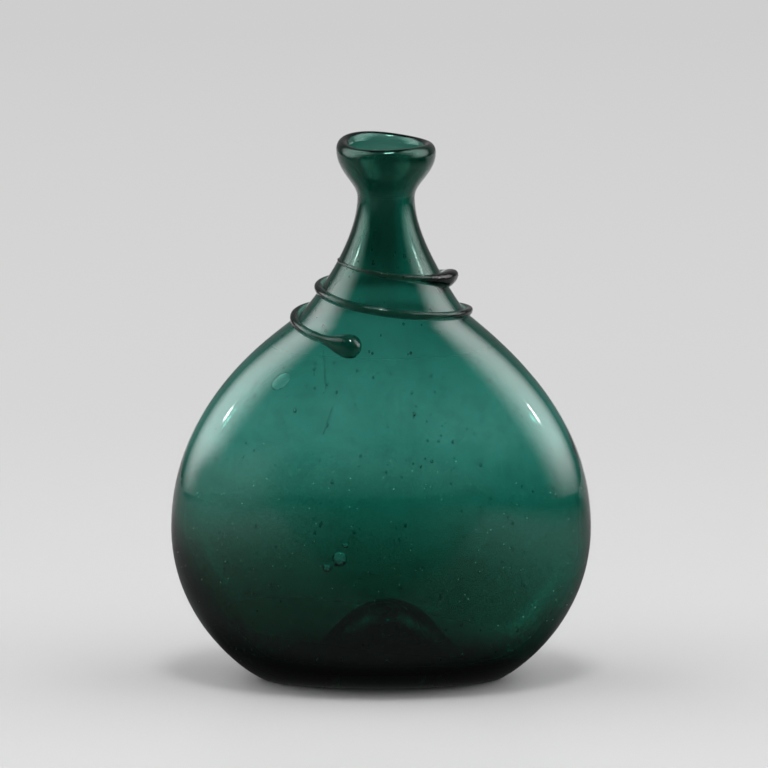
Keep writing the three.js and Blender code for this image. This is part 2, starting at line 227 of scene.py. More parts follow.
@dataclass(frozen=True)
class BlownGlass:
    """Soda-potash forest glass, gathered hot and blown: fire-polished skin, iron-green body colour.

    Most of the colour is in the depth of the glass, so thin walls are pale and the base is nearly black. Up
    the neck a brown tint and a painted reflection tint lie on the skin.
    """

    name: str
    tint: str = "f6fbf9"
    film_tint: str = "e2c2bc"
    film: Span = (0.128, 0.158)
    film_side: Span = (0.003, 0.0085)
    film_side_share: float = 0.1
    # Painted reflection tint: dims the reflections where the neck's tint lies and tints them green.
    painted_reflection_tint: str = "8cbbad"
    grime_spacing: float = 0.006
    grime: Span = (0.42, 0.72)
    grime_share: float = 0.24
    cup: Span = (0.168, 0.178)
    body_colour: str = "17cbc1"
    absorption: float = 610.0
    index: float = 1.52
    polish: float = 0.012
    haze: float = 0.05
    haze_patches: Span = (0.45, 0.75)
    residue_foot: Span = (0.108, 0.122)
    residue_top: Span = (0.182, 0.168)
    residue_haze: float = 0.32
    wear_height: float = 0.0015
    wear_roughness: float = 0.38
    kick_rise: Span = (0.026, 0.0156)
    kick_stretch: float = 3.4
    kick_edge: Span = (0.012075, 0.008925)
    kick_clear: float = 0.0001
    kick_roughness: float = 0.3
    sediment_slope: float = 0.11
    grain_spacing: float = 0.0037
    grain_radii: Span = (0.00022, 0.000132)
    grain_roughness: float = 0.45
    dust: Span = (0.105, 0.060)
    cord_spacing: float = 0.007
    cord_draw: float = 0.22
    cord_depth: float = 0.00003
    ripple_spacing: float = 0.0022
    ripple_depth: float = 0.000004

    def build(self) -> Material:
        """Makes the material: clear skin with drawn cords, films, a painted reflection tint and wear, over a
        coloured volume.

        Returns:
            The finished material.
        """
        material = bpy.data.materials.new(self.name)
        tree = emptied(material)
        add = partial(add_node, tree)
        ease = partial(eased, tree)
        join = partial(combined, tree)
        place = add("TexCoord").outputs["Object"]
        across, _, height = add("SeparateXYZ", links={"Vector": place}).outputs
        inner = add("Attribute", {"attribute_name": INNER}).outputs["Fac"]
        # Cords are streaks drawn out up the flask, so their pattern is long in Z. Ripples lie on them, and
        # fine patches of grime lie all over.
        drawn = add("Mapping", {"Scale": (1.0, 1.0, self.cord_draw)}, {"Vector": place})
        patterns = []
        for where, spacing, detail, roughness in (
            (drawn, self.cord_spacing, 2.0, 0.45),
            (place, self.ripple_spacing, 3.0, 0.6),
            (place, self.grime_spacing, 6.0, 0.7),
        ):
            values = {"Scale": 1 / spacing, "Detail": detail, "Roughness": roughness}
            patterns.append(add("TexNoise", values, {"Vector": where}))
        cords, ripples, patches = patterns
        bump = add("Bump", {"Distance": self.cord_depth}, {"Height": cords})
        bump = add("Bump", {"Distance": self.ripple_depth}, {"Height": ripples, "Normal": bump})
        # The resting ring is scuffed matt. Above it a thin film of age dulls the polish in patches.
        worn = ease(height, self.wear_height, 0.0, 0.0, self.wear_roughness)
        film = ease(cords, *self.haze_patches, self.polish, self.haze)
        # Dried sediment lies on the floor inside, and the kick under it was never polished.
        slope = {"operation": "MULTIPLY_ADD", 1: self.sediment_slope}
        level = add("Math", slope, {0: across, 2: height})
        low = ease(level, *self.kick_rise)
        under = ease(plan_distance(tree, place, self.kick_stretch), *self.kick_edge)
        rough = ease(height, 0.0, self.kick_clear, 0.0, self.kick_roughness)
        sediment = join("MULTIPLY", low, join("MAXIMUM", inner, under), rough)
        # Dust and mineral grains stick to the skin of the lower half as pale pin points.
        grains = add("TexVoronoi", {"Scale": 1 / self.grain_spacing}, {"Vector": place})
        edge, core = (radius / self.grain_spacing for radius in self.grain_radii)
        grain = ease(grains, edge, core)
        dust = ease(height, *self.dust, 0.0, self.grain_roughness)
        dusty = join("MULTIPLY", grain, dust)
        # Residue inside the shoulder and the neck was never reached, so what lies behind is seen hazily.
        hazy = ease(height, *self.residue_foot, 0.0, self.residue_haze)
        residue = join("MULTIPLY", inner, hazy, ease(height, *self.residue_top))
        roughness = join("MAXIMUM", worn, film, sediment, dusty, residue)
        # Above the shoulder a brown tint darkens the glass, most down its middle and in the cup. There a
        # painted reflection tint also dims the reflections and tints them green.
        tinted_share = ease(height, *self.film)
        side = add("Math", {"operation": "ABSOLUTE"}, {0: across})
        streak = ease(side, *self.film_side, 1.0, self.film_side_share)
        streak = join("MAXIMUM", streak, ease(height, *self.cup))
        grimy = ease(patches, *self.grime, 0.0, self.grime_share)
        dirt = join("ADD", join("MULTIPLY", tinted_share, streak), grimy)
        tint = add("MixRGB", {1: linear(self.tint), 2: linear(self.film_tint)}, {0: dirt})
        # Painted reflection: the specular tint dims the reflections up the neck and tints them green.
        glint = add("MixRGB", {1: linear("ffffff"), 2: linear(self.painted_reflection_tint)}, {0: tinted_share})
        links = {"Base Color": tint, "Specular Tint": glint, "Roughness": roughness, "Normal": bump}
        skin = add("BsdfPrincipled", {"IOR": self.index, "Transmission Weight": 1.0}, links)
        body = add("VolumeAbsorption", {"Color": linear(self.body_colour), "Density": self.absorption})
        add("OutputMaterial", links={"Surface": skin, "Volume": body})
        return material


@dataclass(frozen=True)
class Paper:
    """Pale satin board: faintly uneven, with a soft sheen that holds a blurred reflection.

    Round the flask the board is lit. Farther off, where it serves as the backdrop, it glows in a tone painted
    slightly darker farther back. The glass mirrors it as a painted reflection, dimmer than the camera sees
    it.
    """

    name: str = "satin_table_board"
    near_colour: str = "999999"
    low_colour: str = "d8d8d8"
    high_colour: str = "cecece"
    mirrored_colour: str = "636565"
    mirrored_side_colour: str = "cccccc"
    mist: Span = (0.16, 0.55)
    gradient: Span = (0.16, 1.6)
    mirror: Span = (0.30, 0.12)
    mirror_side: Span = (0.03, 0.36)
    contact: Span = (0.026, 0.044)
    contact_stretch: float = 2.3
    contact_light: float = 0.25
    stand_near: float = 0.14
    stand_spread: float = 0.75
    stand_edge: float = 0.02
    stand_light: float = 0.6
    left_edge: Span = (-0.7, -1.1)
    right_edge: Span = (0.14, 0.7)
    front_edge: Span = (-0.3, -1.0)
    edge_light: float = 0.06
    sheen: float = 0.42
    blotch: float = 0.12
    blotch_tones: Span = (0.985, 1.01)

    def build(self) -> Material:
        """Makes the board: lit near the flask, a glow farther off painted slightly darker farther back, and a
        dimmer painted reflection in the glass.

        Returns:
            The finished material.
        """
        material = bpy.data.materials.new(self.name)
        tree = emptied(material)
        add = partial(add_node, tree)
        ease = partial(eased, tree)
        join = partial(combined, tree)
        rays = add("LightPath").outputs
        place = add("TexCoord").outputs["Object"]
        across, back, _ = add("SeparateXYZ", links={"Vector": place}).outputs
        sideways = add("Math", {"operation": "ABSOLUTE"}, {0: across})
        blotches = add("TexNoise", {"Scale": 1 / self.blotch, "Detail": 2.0}, {"Vector": place})
        tones = {"To Min": self.blotch_tones[0], "To Max": self.blotch_tones[1]}
        tone = add("MapRange", tones, {"Value": blotches})
        colour = add("VectorMath", {"operation": "SCALE", 0: linear(self.near_colour)[:3]}, {"Scale": tone})
        lit = add("BsdfPrincipled", {"Roughness": self.sheen}, {"Base Color": colour})
        # Painted falloff of light: as backdrop the board glows slightly darker farther back.
        reach = {"From Min": self.gradient[0], "From Max": self.gradient[1]}
        depth = add("MapRange", reach, {"Value": back})
        distance = add("MixRGB", {1: linear(self.low_colour), 2: linear(self.high_colour)}, {0: depth})
        even = add("Emission", links={"Color": distance})
        glossy, through = rays["Is Glossy Ray"], rays["Is Transmission Ray"]
        seen = join("MAXIMUM", rays["Is Camera Ray"], through, glossy)
        far = ease(plan_distance(tree, place), *self.mist)
        shown = add("MixShader", links={0: join("MULTIPLY", seen, far), 1: lit, 2: even})
        # The glass mirrors the board in front as a dimmer painted reflection, less dim out to the sides.
        in_front = ease(back, *self.mirror)
        mirrored = join("MULTIPLY", join("SUBTRACT", glossy, through), in_front)
        tones = {1: linear(self.mirrored_colour), 2: linear(self.mirrored_side_colour)}
        out = ease(sideways, *self.mirror_side)
        dim_tone = add("MixRGB", tones, {0: out})
        # Close under the flask's outline a painted shadow dims what the glass mirrors of the board.
        from_foot = plan_distance(tree, place, self.contact_stretch)
        open_sky = ease(from_foot, *self.contact, self.contact_light)
        # In the front a painted dark wedge, as the shade of a camera stand, dims what the glass mirrors,
        # widening towards the camera.
        wedge = {"operation": "MULTIPLY_ADD", 1: self.stand_spread, 2: self.stand_spread * self.stand_near}
        beside = join("ADD", sideways, add("Math", wedge, {0: back}))
        stand = ease(beside, -self.stand_edge, self.stand_edge, self.stand_light)
        # Towards the board's edges what the glass mirrors of it is painted fading into the dim room.
        edges = ((across, self.left_edge), (across, self.right_edge), (back, self.front_edge))
        kept = [ease(value, *span, 1.0, self.edge_light) for value, span in edges]
        links = {"Color": dim_tone, "Strength": join("MULTIPLY", open_sky, stand, *kept)}
        dim = add("Emission", links=links)
        whole = add("MixShader", links={0: mirrored, 1: shown, 2: dim})
        add("OutputMaterial", links={"Surface": whole})
        return material


@dataclass
class Vessel:
    """The blown vessel: one wall of glass, from the kick under it round the outside and back inside."""

    glass: Material
    height: float
    belly_width: float
    belly_depth: float
    belly_height: float = 0.0538
    bulge_height: float = 0.036
    foot_width: float = 0.083
    foot_depth: float = 0.0252
    heel_rise: float = math.radians(27)
    front_heel_rise: float = math.radians(16)
    shoulder_width: float = 0.0585
    shoulder_height: float = 0.1294
    shoulder_slope: float = math.radians(141)
    neck_diameter: float = 0.0196
    neck_height: float = 0.1705
    lip_diameter: float = 0.034
    lip_drop: float = 0.0046
    lip_roll: float = 0.0049
    lip_tilt: float = math.radians(3)
    lip_high_angle: float = math.radians(128)
    lip_wave: float = 0.0005
    lip_wave_angle: float = math.radians(135)
    lean: float = 0.0017
    lean_span: Span = (0.108, 0.150)
    neck_wall: float = 0.0042
    neck_foot_wall: float = 0.0048
    neck_foot_height: float = 0.152
    shoulder_wall: float = 0.0034
    belly_wall: float = 0.0027
    heel_wall: float = 0.0078
    thick_start: float = 0.015
    thick_end: float = 0.092
    kick_wall: float = 0.005
    floor_join: float = 0.018
    kick_height: float = 0.0225
    kick_width: float = 0.060
    kick_depth: float = 0.0175
    set_off: float = 0.0021
    set_off_span: Span = (0.062, 0.030)
    wobble: float = 0.00016
    inner_wobble: float = 0.0006
    wobble_spacing: float = 0.028
    ripple_share: float = 0.4
    ripple_rate: float = 2.7
    level_foot: float = 0.012
    heel_pulls: Span = (0.122, 0.611)
    belly_pulls: Span = (0.56, 0.2)
    neck_pulls: Span = (0.073, 0.397)
    front_heel_pulls: Span = (0.42, 0.55)
    front_pulls: Span = (0.58, 0.1345)
    cup_pulls: Span = (0.3, 0.457)
    inner_cup_pulls: Span = (0.5, 0.5)
    kick_rings: int = 26
    foot_shares: tuple[float, ...] = (0.35, 0.7, 1.0)
    outline_rings: tuple[int, ...] = (30, 48, 30)
    cup_rings: int = 18
    lip_rings: int = 24
    hollow_rings: tuple[int, ...] = (24, 48)
    floor_rings: int = 32
    segments: int = 192
    probes: int = 160

    def __post_init__(self) -> None:
        """Works out the front and side outlines."""
        up = Vector((0, 1))
        ways = (self.heel_rise, self.front_heel_rise, self.shoulder_slope)
        heel, front_heel, slope = (Vector((math.cos(way), math.sin(way))) for way in ways)
        belly = Vector((self.belly_width / 2, self.belly_height))
        shoulder = Vector((self.shoulder_width / 2, self.shoulder_height))
        bulge = Vector((self.belly_depth / 2, self.bulge_height))
        self.neck = Vector((self.neck_diameter / 2, self.neck_height))
        self.curves = (
            bezier(Vector((self.foot_width / 2, 0)), heel, belly, up, self.heel_pulls),
            bezier(belly, up, shoulder, slope, self.belly_pulls),
            bezier(shoulder, slope, self.neck, up, self.neck_pulls),
        )
        side_curves = (
            bezier(Vector((self.foot_depth / 2, 0)), front_heel, bulge, up, self.front_heel_pulls),
            bezier(bulge, up, self.neck, up, self.front_pulls),
        )
        self.front, self.side = (
            np.vstack([first, *(curve[1:] for curve in rest)]) for first, *rest in (self.curves, side_curves)
        )

    def half_width(self, height: Any) -> Any:
        """Half the outside width at a height."""
        return np.interp(height, self.front[:, 1], self.front[:, 0])

    def half_depth(self, height: Any) -> Any:
        """Half the outside depth at a height."""
        return np.interp(height, self.side[:, 1], self.side[:, 0])

    def wall(self, height: Any) -> Any:
        """Glass thickness, square to the surface.

        Args:
            height: the height or heights to read.

        Returns:
            The thickness there.
        """
        stations = (
            (self.thick_start, self.heel_wall),
            (self.thick_end, self.belly_wall),
            (self.shoulder_height, self.shoulder_wall),
            (self.neck_foot_height, self.neck_foot_wall),
            (self.neck_height, self.neck_wall),
        )
        thickness = np.full_like(np.asarray(height, float), self.heel_wall)
        for (start, before), (end, after) in zip(stations, stations[1:]):
            thickness = thickness + (after - before) * smoothstep(height, start, end)
        return thickness

    def inner(self, height: Any, outside: Any) -> Any:
        """The inner wall: an outline drawn in by the wall, measured along the level.

        Args:
            height: the height or heights to read.
            outside: half_width or half_depth.

        Returns:
            The distance of the inner wall from the axis.
        """
        step = self.neck_height / self.probes
        height = np.asarray(height, float)
        slope = (outside(height + step) - outside(np.maximum(height - step, 0))) / (2 * step)
        return outside(height) - self.wall(height) * np.minimum(np.hypot(1, slope), 2.0)

    def share_at(self, x: np.ndarray, y: np.ndarray, ellipse: Any) -> np.ndarray:
        """Finds how far along a family of level ellipses each plan position lies.

        Args:
            x: positions across.
            y: positions front to back.
            ellipse: gives the half width and half depth of the ellipse at a share.

        Returns:
            The share of each position, from 0 to 1.
        """
        low, high = np.zeros_like(x), np.ones_like(x)
        for _ in range(24):
            middle = (low + high) / 2
            a, b = ellipse(middle)
            outside = (x / a) ** 2 + (y / b) ** 2 > 1
            low = np.where(outside, middle, low)
            high = np.where(outside, high, middle)
        return (low + high) / 2

    def kick_ellipse(self, share: Any, grown: float = 0.0) -> tuple[Any, Any]:
        """Measures the kick, which is round at its top.

        Args:
            share: the share or shares of its spread.
            grown: how much larger it is taken all round.

        Returns:
            Half its width and half its depth.
        """
        flattening = self.kick_width / self.kick_depth
        reach = grown * np.sin(math.pi / 2 * np.minimum(np.asarray(share) * 2, 1.0))
        deep = self.kick_depth / 2 * np.tanh(flattening * share) / math.tanh(flattening)
        return self.kick_width / 2 * share + reach, deep + reach

    def kick_underside(self, x: np.ndarray, y: np.ndarray, grown: float = 0.0) -> np.ndarray:
        """Height of the pushed-up base over plan positions, or of a skin grown over it."""
        share = self.share_at(x, y, lambda s: self.kick_ellipse(s, grown))
        return self.kick_height * (1 + np.cos(math.pi * share)) / 2 + grown

    def floor_height(self, x: np.ndarray, y: np.ndarray) -> np.ndarray:
        """Height of the glass floor inside, over the kick and up into the inner wall.

        Args:
            x: positions across.
            y: positions front to back.

        Returns:
            The height at each position.
        """
        join = self.floor_join
        wall_share = self.share_at(
            x, y, lambda s: (self.inner(s * join, self.half_width), self.inner(s * join, self.half_depth))
        )
        softness = self.kick_wall / 2
        over_kick = self.kick_underside(x, y, self.kick_wall)
        heights = [over_kick, join * wall_share, np.full_like(x, self.heel_wall)]
        top = np.maximum.reduce(heights)
        return top + softness * np.log(sum(np.exp((h - top) / softness) for h in heights))

    def lip_rise(self, angle: Any, radius: Any) -> Any:
        """How far the tilted and wavy lip stands above its level, going round it."""
        wave = self.lip_wave * np.cos(2 * (angle - self.lip_wave_angle))
        return wave + math.tan(self.lip_tilt) * radius * np.cos(angle - self.lip_high_angle)

    def level_ring(self, height: float, zone: Zone) -> Ring:
        """Reads the outside or the inner wall.

        Args:
            height: the height to read.
            zone: which of the two.

        Returns:
            The ring there.
        """
        sizes = self.half_width(height), self.half_depth(height)
        if zone is Zone.HOLLOW:
            sizes = self.inner(height, self.half_width), self.inner(height, self.half_depth)
        return Ring(float(sizes[0]), float(sizes[1]), float(height), zone)

    def cup_curves(self) -> tuple[np.ndarray, np.ndarray, np.ndarray]:
        """Draws the outline of the cup.

        Returns:
            Its outside, the roll of its lip and its inside, each without its first point.
        """
        up = Vector((0, 1))
        rim = Vector((self.lip_diameter / 2, self.height - self.lip_drop))
        inner_rim = Vector((rim.x - self.lip_roll, rim.y))
        bore = Vector((float(self.inner(self.neck_height, self.half_width)), self.neck_height))
        count = self.cup_rings + 1
        outside = bezier(self.neck, up, rim, up, self.cup_pulls, count)
        inside = bezier(inner_rim, -up, bore, -up, self.inner_cup_pulls, count)
        middle = rim.x - self.lip_roll / 2
        round_the_lip = np.linspace(0, 2 * math.pi, 90)
        crest = self.lip_drop - float(np.max(self.lip_rise(round_the_lip, middle)))
        turns = np.linspace(0, math.pi, self.lip_rings + 1)
        roll = np.column_stack((middle + self.lip_roll / 2 * np.cos(turns), rim.y + crest * np.sin(turns)))
        return outside[1:], roll[1:], inside[1:]

    def rings(self) -> list[Ring]:
        """Lists the rings, from the top of the kick underneath, round the outside and back inside.

        Returns:
            The rings in order.
        """
        rings = [Ring(0.0, 0.0, self.kick_height, Zone.SKIN)]
        for share in np.linspace(0, 1, self.kick_rings + 1)[1:]:
            a, b = self.kick_ellipse(share)
            rings.append(Ring(a, float(b), self.kick_height * (1 + math.cos(math.pi * share)) / 2, Zone.SKIN))
        for share in self.foot_shares:
            a = self.kick_width + (self.foot_width - self.kick_width) * share
            b = self.kick_depth + (self.foot_depth - self.kick_depth) * share
            rings.append(Ring(a / 2, b / 2, 0.0, Zone.SKIN))
        for curve, count in zip(self.curves, self.outline_rings):
            spread = np.linspace(0, len(curve) - 1, count + 1)[1:]
            heights = np.interp(spread, np.arange(len(curve)), curve[:, 1])
            rings += [self.level_ring(z, Zone.SKIN) for z in heights]
        for points, zone in zip(self.cup_curves(), (Zone.SKIN, Zone.SKIN, Zone.HOLLOW)):
            rings += [Ring(reach, reach, z, zone) for reach, z in points.tolist()]
        stations = (self.neck_height, self.shoulder_height, self.floor_join)
        for start, end, count in zip(stations, stations[1:], self.hollow_rings):
            rings += [self.level_ring(z, Zone.HOLLOW) for z in np.linspace(start, end, count + 1)[1:]]
        last = rings[-1]
        for share in np.linspace(1, 0, self.floor_rings + 1)[1:]:
            rings.append(Ring(last.across * share, last.deep * share, self.floor_join, Zone.FLOOR))
        return rings

    def spun(self) -> Mesh:
        """Spins the outline into a round bubble, presses it flat and sets its floor, lip and lean.

        Returns:
            The closed mesh of the vessel.
        """
        rings = self.rings()
        bm = bmesh.new()
        tag = bm.verts.layers.int.new(TAG)
        inner = bm.verts.layers.float.new(INNER)
        profile = []
        for number, ring in enumerate(rings):
            vert = bm.verts.new((ring.across, 0, ring.height))
            vert[tag] = number
            profile.append(vert)
        edges = [bm.edges.new(pair) for pair in zip(profile, profile[1:])]
        turn = {"angle": 2 * math.pi, "steps": self.segments, **ABOUT_AXIS}
        bmesh.ops.spin(bm, geom=profile + edges, use_merge=True, **turn)
        poles = [v for v in bm.verts if v.co.xy.length < MERGE]
        bmesh.ops.remove_doubles(bm, verts=poles, dist=MERGE)
        verts = list(bm.verts)
        laid = [rings[v[tag]] for v in verts]
        at = np.array([v.co for v in verts])
        across, deep = np.array([(ring.across, ring.deep) for ring in laid]).T
        on_floor = np.array([ring.zone is Zone.FLOOR for ring in laid])
        inside = np.array([ring.zone is not Zone.SKIN for ring in laid])
        at[:, 1] *= np.where(across > 0, deep / np.maximum(across, MERGE), 1.0)
        at[on_floor, 2] = self.floor_height(at[on_floor, 0], at[on_floor, 1])
        reach = smoothstep(at[:, 2], self.neck_height, self.height - self.lip_drop)
        at[:, 2] += reach * self.lip_rise(np.arctan2(at[:, 1], at[:, 0]), np.hypot(at[:, 0], at[:, 1]))
        at[:, 0] += self.leaned(at[:, 2])
        at[:, 0] += inside * self.set_off * smoothstep(at[:, 2], *self.set_off_span)
        for vert, place, held in zip(verts, at, inside):
            vert.co = place
            vert[inner] = float(held)
        bmesh.ops.recalc_face_normals(bm, faces=bm.faces)
        bm.normal_update()
        self.uneven(bm, [ring.zone for ring in laid])
        return bm

    def leaned(self, height: Any) -> Any:
        """How far the axis has moved over at a height, as the neck was set off to one side."""
        return self.lean * smoothstep(height, *self.lean_span)

    def uneven(self, bm: Mesh, zones: list[Zone]) -> None:
        """Gives the hand-blown wall its slight swells, always inwards from the true outline.

        Args:
            bm: the vessel.
            zones: the zone of each vertex.
        """
        moves = []
        for vert, zone in zip(bm.verts, zones):
            depth = self.wobble if zone is Zone.SKIN else self.inner_wobble
            spot = vert.co / self.wobble_spacing
            fine = noise.noise(spot * self.ripple_rate + Vector((7, 3, 5)))
            swell = noise.noise(spot) + self.ripple_share * fine
            low = float(smoothstep(vert.co.z, 0.0, self.level_foot))
            moves.append(vert.normal * (depth * low * (max(-1.0, min(1.0, swell)) - 1) / 2))
        for vert, move in zip(bm.verts, moves):
            vert.co += move

    def skin(self, angle: float, height: float) -> Vector:
        """A place on the outside, before the lean."""
        a, b = float(self.half_width(height)), float(self.half_depth(height))
        return Vector((a * math.cos(angle), b * math.sin(angle), height))

    def outward(self, angle: float, height: float) -> Vector:
        """The way out of the glass at a place on the outside.

        Args:
            angle: where it lies round the axis.
            height: how high it lies.

        Returns:
            A vector of length 1.
        """
        turn, rise = math.pi / self.probes, self.neck_height / self.probes
        round_ = self.skin(angle + turn, height) - self.skin(angle - turn, height)
        up = self.skin(angle, height + rise) - self.skin(angle, height - rise)
        return round_.cross(up).normalized()

    def build(self, seeds: "Seeds") -> bpy.types.Object:
        """Builds the vessel with its seeds and puts it in the place of the plain solid.

        Args:
            seeds: the air bubbles trapped in the wall.

        Returns:
            The vessel.
        """
        bm = self.spun()
        bubbles = seeds.blown(self)
        bm.from_mesh(bubbles)
        bpy.data.meshes.remove(bubbles)
        vessel = shaped("blown_vessel", bm, self.glass)
        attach(vessel, "root")
        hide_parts("flask_body")
        return vessel


@dataclass(frozen=True)
class Bubble:
    """One bubble in the front wall: where it lies, and its size across, up and through the wall."""

    x: float
    height: float
    across: float
    along: float
    through: float
    turn: float = 0.0


@dataclass
class Seeds:
    """Air trapped in the gather: a few flattened blisters and hundreds of pin seeds."""

    blisters: tuple[Bubble, ...] = (
        Bubble(-0.0142, 0.0512, 0.0049, 0.0054, 0.0016),
        Bubble(-0.0186, 0.0478, 0.0031, 0.0030, 0.0014),
        Bubble(-0.0122, 0.0560, 0.0022, 0.0019, 0.0012),
        Bubble(-0.0192, 0.1150, 0.0005, 0.0140, 0.0005, math.radians(7)),
        Bubble(-0.0180, 0.0985, 0.0005, 0.0110, 0.0005, math.radians(-17)),
        Bubble(-0.0343, 0.1105, 0.0046, 0.0078, 0.0006, math.radians(-48)),
        Bubble(-0.0463, 0.0448, 0.0022, 0.0012, 0.0007),
        Bubble(0.0360, 0.0430, 0.0010, 0.0010, 0.0008),
    )
    specks: tuple[Span, ...] = (
        (-0.0227, 0.1170), (-0.0161, 0.1175), (-0.0081, 0.1152), (-0.0027, 0.1130), (-0.0030, 0.1210),
        (-0.0069, 0.0868), (0.0104, 0.1078), (0.0182, 0.1078), (0.0158, 0.0918), (0.0195, 0.0915),
        (0.0135, 0.0830), (0.0372, 0.1105), (0.0077, 0.1305),
    )
    speck_size: float = 0.0008
    speck_stretch: float = 1.25
    pin_count: int = 480
    pin_sizes: Span = (0.0005, 0.0013)
    pin_stretch: Span = (1.0, 1.8)
    pin_depths: Span = (0.3, 0.7)
    pin_lowest: float = 0.012
    pin_rise: float = 0.150
    seed: int = 1780

    def blown(self, vessel: Vessel) -> bpy.types.Mesh:
        """Makes every bubble as a hollow inside the wall, its faces turned to the air in it.

        Args:
            vessel: where the wall is.

        Returns:
            One mesh with all the bubbles.
        """
        bm = bmesh.new()
        for bubble in self.blisters:
            self.hollow(bm, vessel, self.front_angle(vessel, bubble.x, bubble.height), bubble, fine=True)
        for x, height in self.specks:
            size = self.speck_size
            bubble = Bubble(x, height, size, size * self.speck_stretch, size)
            self.hollow(bm, vessel, self.front_angle(vessel, x, height), bubble, fine=True)
        chance = random.Random(self.seed)
        for _ in range(self.pin_count):
            height = self.pin_lowest + self.pin_rise * chance.random() ** 1.5
            angle = chance.uniform(0, 2 * math.pi)
            size = self.pin_sizes[0] + (self.pin_sizes[1] - self.pin_sizes[0]) * chance.random() ** 3
            bubble = Bubble(0, height, size, size * chance.uniform(*self.pin_stretch), size)
            self.hollow(bm, vessel, angle, bubble, fine=False, share=chance.uniform(*self.pin_depths))
        bmesh.ops.reverse_faces(bm, faces=bm.faces[:])
        mesh = bpy.data.meshes.new("seeds")
        bm.to_mesh(mesh)
        bm.free()
        return mesh

    def front_angle(self, vessel: Vessel, x: float, height: float) -> float:
        """The angle round the vessel of a place on its front."""
        share = (x - float(vessel.leaned(height))) / float(vessel.half_width(height))
        return -math.acos(max(-1.0, min(1.0, share)))

    def hollow(
        self, bm: Mesh, vessel: Vessel, angle: float, bubble: Bubble, fine: bool, share: float = 0.5
    ) -> None:
        """Adds one bubble, lying flat in the wall.

        Args:
            bm: the mesh of the bubbles.
            vessel: where the wall is.
            angle: where the bubble lies round the vessel.
            bubble: its height and sizes.
            fine: whether it needs many faces.
            share: how deep it lies, as a share of the wall.
        """
        out = vessel.outward(angle, bubble.height)
        along = (Vector((0, 0, 1)) - out * out.z).normalized()
        side = along.cross(out)
        at = vessel.skin(angle, bubble.height) - out * (float(vessel.wall(bubble.height)) * share)
        at.x += float(vessel.leaned(bubble.height))
        turned = Matrix((side, along, out)).transposed() @ Matrix.Rotation(bubble.turn, 3, "Z")
        size = Matrix.Diagonal((bubble.across / 2, bubble.along / 2, bubble.through / 2))
        matrix = Matrix.Translation(at) @ (turned @ size).to_4x4()
        bmesh.ops.create_icosphere(bm, subdivisions=3 if fine else 1, radius=1.0, matrix=matrix)


